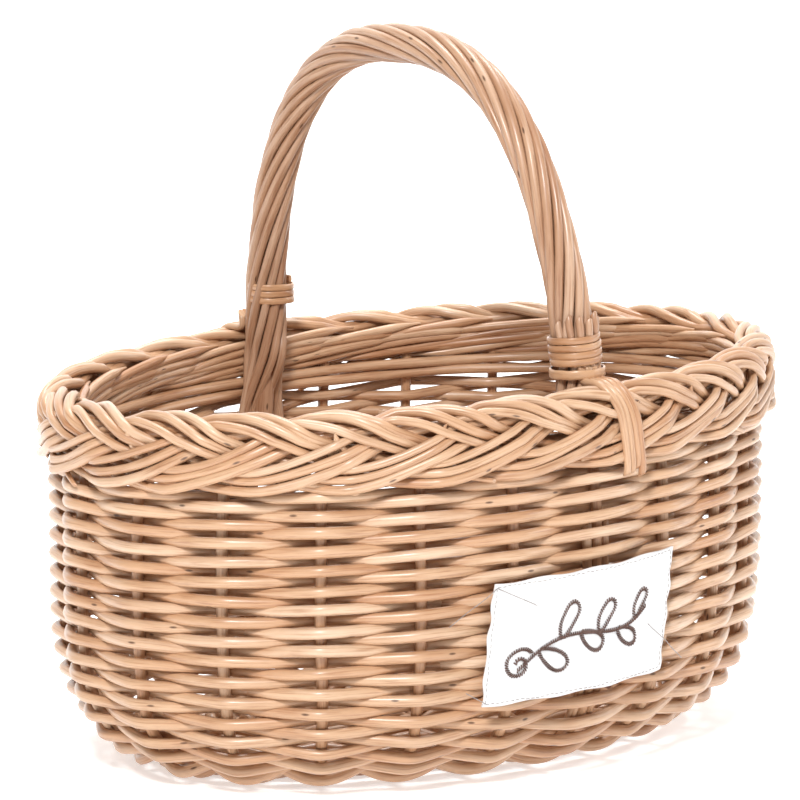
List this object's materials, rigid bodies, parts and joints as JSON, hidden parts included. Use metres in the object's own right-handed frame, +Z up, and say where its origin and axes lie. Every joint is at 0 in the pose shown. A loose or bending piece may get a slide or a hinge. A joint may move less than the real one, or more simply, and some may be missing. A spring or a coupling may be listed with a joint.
{
  "type": "woven market basket",
  "caption": "Oval woven willow market basket with a plaited border, a roped arched handle across its width and a small cloth label.",
  "frame": {"origin": "on the floor, in the middle of the oval, under the flat foot ring", "axes": "+Z up, +X along the long axis of the oval, -Y is the front, which carries the label"},
  "size_m": [0.3942, 0.3178, 0.3548],
  "materials": {
    "foot_willow": "varnished buff willow, semi-gloss",
    "stick_willow": "varnished buff willow, semi-gloss",
    "base_willow": "varnished buff willow, semi-gloss",
    "stake_willow": "varnished buff willow, semi-gloss",
    "weaver_willow": "varnished buff willow, semi-gloss",
    "border_willow": "varnished buff willow, semi-gloss",
    "handle_willow": "varnished buff willow, semi-gloss",
    "skein_willow": "varnished buff willow, semi-gloss",
    "cotton": "plain-woven white cotton"
  },
  "bodies": {
    "root": {"foot_ring": "foot_willow", "base_long_sticks": "stick_willow", "base_cross_sticks": "stick_willow", "base_weave_outer": "base_willow", "base_weave_middle": "base_willow", "base_weave_inner": "base_willow", "stakes_front": "stake_willow", "stakes_right": "stake_willow", "stakes_back": "stake_willow", "stakes_left": "stake_willow", "foot_pair_low_a": "foot_willow", "foot_pair_low_b": "foot_willow", "foot_pair_high_a": "foot_willow", "foot_pair_high_b": "foot_willow", "weave_row_01": "weaver_willow", "weave_row_02": "weaver_willow", "weave_row_03": "weaver_willow", "weave_row_04": "weaver_willow", "weave_row_05": "weaver_willow", "weave_row_06": "weaver_willow", "weave_row_07": "weaver_willow", "weave_row_08": "weaver_willow", "weave_row_09": "weaver_willow", "weave_row_10": "weaver_willow", "weave_row_11": "weaver_willow", "weave_row_12": "weaver_willow", "weave_row_13": "weaver_willow", "weave_row_14": "weaver_willow", "weave_row_15": "weaver_willow", "weave_row_16": "weaver_willow", "weave_row_17": "weaver_willow", "weave_row_18": "weaver_willow", "weave_row_19": "weaver_willow", "weave_row_20": "weaver_willow", "weave_row_21": "weaver_willow", "weave_row_22": "weaver_willow", "weave_row_23": "weaver_willow", "weave_row_24": "weaver_willow", "weave_row_25": "weaver_willow", "weave_row_26": "weaver_willow", "border_strand_a": "border_willow", "border_strand_b": "border_willow", "border_strand_c": "border_willow", "border_strand_d": "border_willow", "border_strand_e": "border_willow", "handle_bow": "handle_willow", "handle_rods_first": "handle_willow", "handle_rods_second": "handle_willow", "handle_rods_third": "handle_willow", "handle_liners": "handle_willow", "handle_binding_front": "skein_willow", "handle_binding_back": "skein_willow", "handle_band": "skein_willow", "lap_rods": "handle_willow", "label_cloth": "cotton"}
  },
  "joints": []
}
